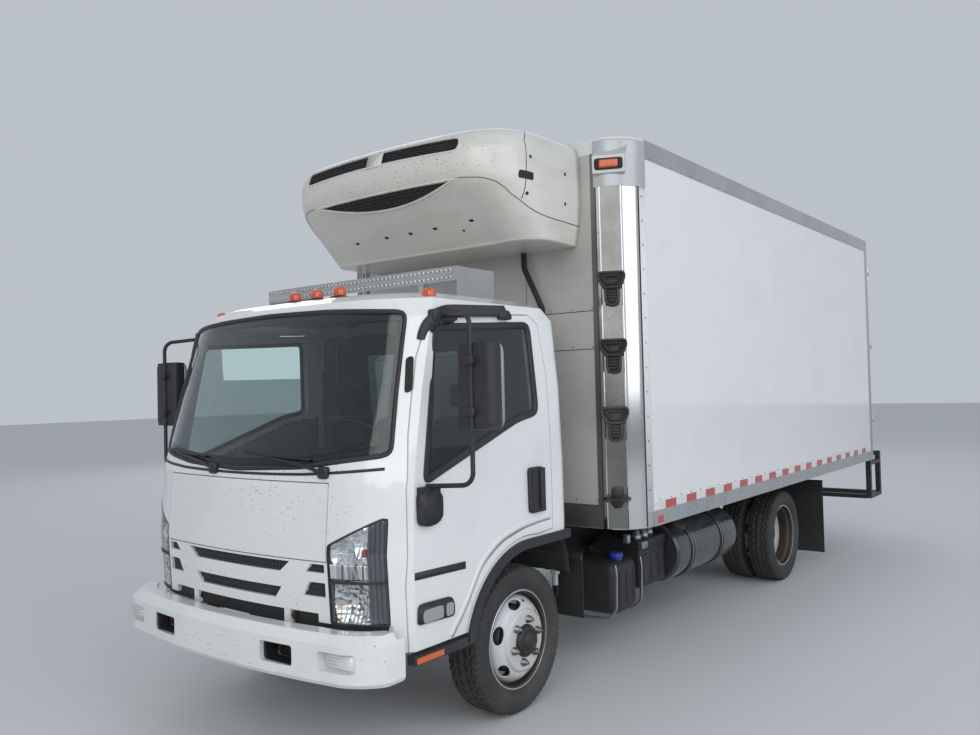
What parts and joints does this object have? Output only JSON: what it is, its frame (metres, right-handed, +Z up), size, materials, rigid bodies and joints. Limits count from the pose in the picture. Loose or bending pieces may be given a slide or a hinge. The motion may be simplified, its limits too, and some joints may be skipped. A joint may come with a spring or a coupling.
{
  "type": "refrigerated truck",
  "caption": "Refrigerated box truck with a tilting low cab, insulated body with rear swing doors, nose-mounted cooling unit and twin rear wheels.",
  "frame": {"origin": "on the ground under the middle of the truck's length and width", "axes": "+Z up, the front faces -Y, +X is the truck's left side"},
  "size_m": [2.695, 7.87, 3.2549],
  "materials": {
    "cab_paint": "white gloss enamel",
    "box_panel": "white gloss laminate panel",
    "polished_steel": "polished stainless",
    "aluminium": "extruded, satin",
    "chassis_black": "black chassis paint",
    "axle_iron": "dull",
    "wheel_white": "white wheel paint",
    "tyre": "matt",
    "glass": "tinted",
    "lamp_glass": "clear lens",
    "amber_lamp": "amber lens",
    "black_plastic": "textured black",
    "grey_trim": "interior grey",
    "seat_cloth": "woven",
    "unit_shell": "warm white moulding",
    "unit_grille": "black mesh",
    "rubber": "matt",
    "engine_metal": "dull"
  },
  "bodies": {
    "chassis": {"frame_rails": "chassis_black", "front_axle": "axle_iron", "rear_axle": "axle_iron", "springs": "chassis_black", "powertrain": "engine_metal", "front_bumper": "cab_paint", "fuel_tank": "chassis_black", "side_boxes": "chassis_black", "mudflaps": "rubber", "rear_step": "chassis_black", "box_floor": "aluminium", "box_sides": "box_panel", "box_front_wall": "box_panel", "box_roof": "box_panel", "rear_frame": "aluminium", "corner_posts": "polished_steel", "box_rails": "aluminium", "reefer_housing": "unit_shell", "reefer_belly": "unit_shell", "reefer_grilles": "unit_grille", "reefer_hose": "rubber", "folding_steps": "black_plastic", "box_lamps": "amber_lamp"},
    "cab": {"cab_shell": "cab_paint", "cab_glass": "glass", "headlamps": "lamp_glass", "cab_trim": "black_plastic", "seats": "seat_cloth", "dashboard": "grey_trim", "roof_lamps": "amber_lamp", "roof_guard": "aluminium"},
    "front_lid": {"front_lid": "cab_paint"},
    "steering_wheel": {"steering_wheel": "black_plastic"},
    "tie_rod": {"tie_rod": "axle_iron"},
    "door_left": {"door_left": "cab_paint", "door_glass_left": "glass", "mirror_left": "black_plastic"},
    "cargo_door_left": {"cargo_door_left": "box_panel"},
    "knuckle_left": {"knuckle_left": "axle_iron"},
    "wheel_front_left": {"wheel_front_left": "wheel_white", "tyre_front_left": "tyre"},
    "wheel_rear_left": {"wheel_rear_left": "wheel_white", "tyre_rear_left": "tyre"},
    "door_right": {"door_right": "cab_paint", "door_glass_right": "glass", "mirror_right": "black_plastic"},
    "cargo_door_right": {"cargo_door_right": "box_panel"},
    "knuckle_right": {"knuckle_right": "axle_iron"},
    "wheel_front_right": {"wheel_front_right": "wheel_white", "tyre_front_right": "tyre"},
    "wheel_rear_right": {"wheel_rear_right": "wheel_white", "tyre_rear_right": "tyre"}
  },
  "joints": [
    {"name": "cab_tilt", "type": "hinge", "parent": "chassis", "child": "cab", "pos_m": [0, -3.75, 0.69], "axis": [1, 0, 0], "range_deg": [0, 45]},
    {"name": "front_lid_hinge", "type": "hinge", "parent": "cab", "child": "front_lid", "pos_m": [0, -3.79, 1.322], "axis": [-1, 0, 0], "range_deg": [0, 60]},
    {"name": "steering_wheel_turn", "type": "hinge", "parent": "cab", "child": "steering_wheel", "pos_m": [0.4, -3.25, 1.445], "axis": [0, 0.7071, 0.7071], "range_deg": [-620, 620]},
    {"name": "door_left_hinge", "type": "hinge", "parent": "cab", "child": "door_left", "pos_m": [0.985, -3.587, 1.1], "axis": [0, 0, -1], "range_deg": [0, 70]},
    {"name": "cargo_door_left_hinge", "type": "hinge", "parent": "chassis", "child": "cargo_door_left", "pos_m": [1.214, 3.585, 2.1], "axis": [0, 0, -1], "range_deg": [0, 270]},
    {"name": "steer_left", "type": "hinge", "parent": "chassis", "child": "knuckle_left", "pos_m": [0.72, -2.665, 0.392], "axis": [0, 0, 1], "range_deg": [-38, 38]},
    {"name": "wheel_front_left_spin", "type": "hinge", "parent": "knuckle_left", "child": "wheel_front_left", "pos_m": [0.832, -2.665, 0.392], "axis": [1, 0, 0], "continuous": true},
    {"name": "wheel_rear_left_spin", "type": "hinge", "parent": "chassis", "child": "wheel_rear_left", "pos_m": [0.825, 1.145, 0.392], "axis": [1, 0, 0], "continuous": true},
    {"name": "door_right_hinge", "type": "hinge", "parent": "cab", "child": "door_right", "pos_m": [-0.985, -3.587, 1.1], "axis": [0, 0, 1], "range_deg": [0, 70]},
    {"name": "cargo_door_right_hinge", "type": "hinge", "parent": "chassis", "child": "cargo_door_right", "pos_m": [-1.214, 3.585, 2.1], "axis": [0, 0, 1], "range_deg": [0, 270]},
    {"name": "steer_right", "type": "hinge", "parent": "chassis", "child": "knuckle_right", "pos_m": [-0.72, -2.665, 0.392], "axis": [0, 0, 1], "range_deg": [-38, 38]},
    {"name": "wheel_front_right_spin", "type": "hinge", "parent": "knuckle_right", "child": "wheel_front_right", "pos_m": [-0.832, -2.665, 0.392], "axis": [1, 0, 0], "continuous": true},
    {"name": "wheel_rear_right_spin", "type": "hinge", "parent": "chassis", "child": "wheel_rear_right", "pos_m": [-0.825, 1.145, 0.392], "axis": [1, 0, 0], "continuous": true},
    {"name": "tie_rod_swing", "type": "hinge", "parent": "knuckle_left", "child": "tie_rod", "pos_m": [0.72, -2.515, 0.3], "axis": [0, 0, 1], "range_deg": [-38, 38]}
  ],
  "couplings": [
    {"joint": "steer_right", "follows": "steer_left", "ratio": 1},
    {"joint": "tie_rod_swing", "follows": "steer_left", "ratio": -1},
    {"joint": "steering_wheel_turn", "follows": "steer_left", "ratio": -16}
  ]
}
